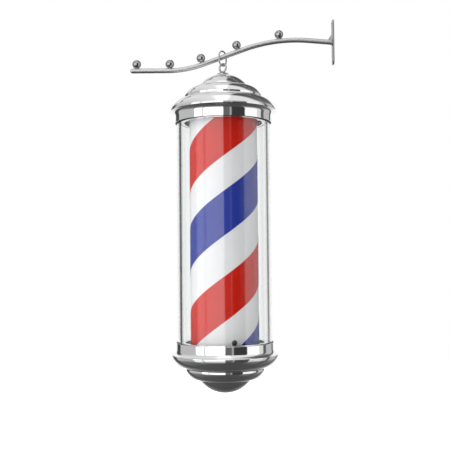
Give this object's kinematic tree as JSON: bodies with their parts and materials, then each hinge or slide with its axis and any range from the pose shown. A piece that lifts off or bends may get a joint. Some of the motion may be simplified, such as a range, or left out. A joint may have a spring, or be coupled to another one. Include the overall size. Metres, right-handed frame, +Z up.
{
  "type": "barber pole light",
  "caption": "Wall-hung barber pole light: striped drum turning in a clear tube between stepped chrome caps, hung by a ring and eye bolt from a bent arm with balls along its top.",
  "frame": {"origin": "centre of the wall plate's back face, where it meets the wall", "axes": "+X into the wall, +Z up; the pole hangs plumb at X = -0.247 m"},
  "size_m": [0.4525, 0.236, 0.82],
  "materials": {
    "bracket_steel": "satin",
    "ball_chrome": "polished",
    "cap_chrome": "mirror polished",
    "clear_tube": "clear",
    "drum_white": "gloss",
    "stripe_red": "gloss film",
    "stripe_blue": "gloss film",
    "black_plastic": "fine matt",
    "screw_black": "blackened",
    "zinc_steel": "zinc plated",
    "nylon": "natural",
    "rubber": "matt",
    "motor_case": "satin",
    "lamp_porcelain": "glazed",
    "lamp_glass": "frosted",
    "lamp_cap": "satin"
  },
  "bodies": {
    "bracket": {"wall_plate": "bracket_steel", "bracket_arm": "bracket_steel", "arm_end_plug": "bracket_steel", "arm_gusset": "bracket_steel", "ball_1": "ball_chrome", "ball_2": "ball_chrome", "ball_3": "ball_chrome", "ball_4": "ball_chrome", "ball_5": "ball_chrome"},
    "hanging_ring": {"hanging_ring": "bracket_steel"},
    "pole": {"eye_bolt": "bracket_steel", "eye_washer": "cap_chrome", "eye_nut": "zinc_steel", "plate_lock_nut": "zinc_steel", "top_cover": "cap_chrome", "bottom_cover": "cap_chrome", "top_collar": "cap_chrome", "bottom_collar": "cap_chrome", "top_seat_ring": "cap_chrome", "bottom_seat_ring": "cap_chrome", "top_gasket": "rubber", "bottom_gasket": "rubber", "top_plate": "zinc_steel", "bottom_plate": "zinc_steel", "top_plate_screws": "zinc_steel", "bottom_plate_screws": "zinc_steel", "clear_tube": "clear_tube", "thrust_washer": "nylon", "motor_body": "motor_case", "motor_screws": "zinc_steel", "cover_bridge": "zinc_steel", "bridge_screws": "zinc_steel", "cover_stud": "zinc_steel", "cover_nut": "zinc_steel", "lamp_tube": "zinc_steel", "lamp_flange": "zinc_steel", "lamp_holder": "lamp_porcelain", "bulb_base": "lamp_cap", "bulb_envelope": "lamp_glass", "cable_grommet": "rubber", "terminal_block": "nylon"},
    "drum": {"drum_tube": "drum_white", "red_stripe": "stripe_red", "blue_stripe": "stripe_blue", "turntable": "black_plastic", "drum_screws": "screw_black", "drum_spider": "black_plastic", "spider_bush": "nylon", "drive_hub": "black_plastic", "motor_shaft": "zinc_steel"}
  },
  "joints": [
    {"name": "ring_swing", "type": "hinge", "parent": "bracket", "child": "hanging_ring", "pos_m": [-0.247, 0, -0.03099], "axis": [1, 0, 0], "range_deg": [-20, 20]},
    {"name": "pole_swing", "type": "hinge", "parent": "hanging_ring", "child": "pole", "pos_m": [-0.247, 0, -0.05029], "axis": [0.6428, 0.766, 0], "range_deg": [-12, 12]},
    {"name": "drum_spin", "type": "hinge", "parent": "pole", "child": "drum", "pos_m": [-0.247, 0, -0.662], "axis": [0, 0, 1], "continuous": true}
  ]
}
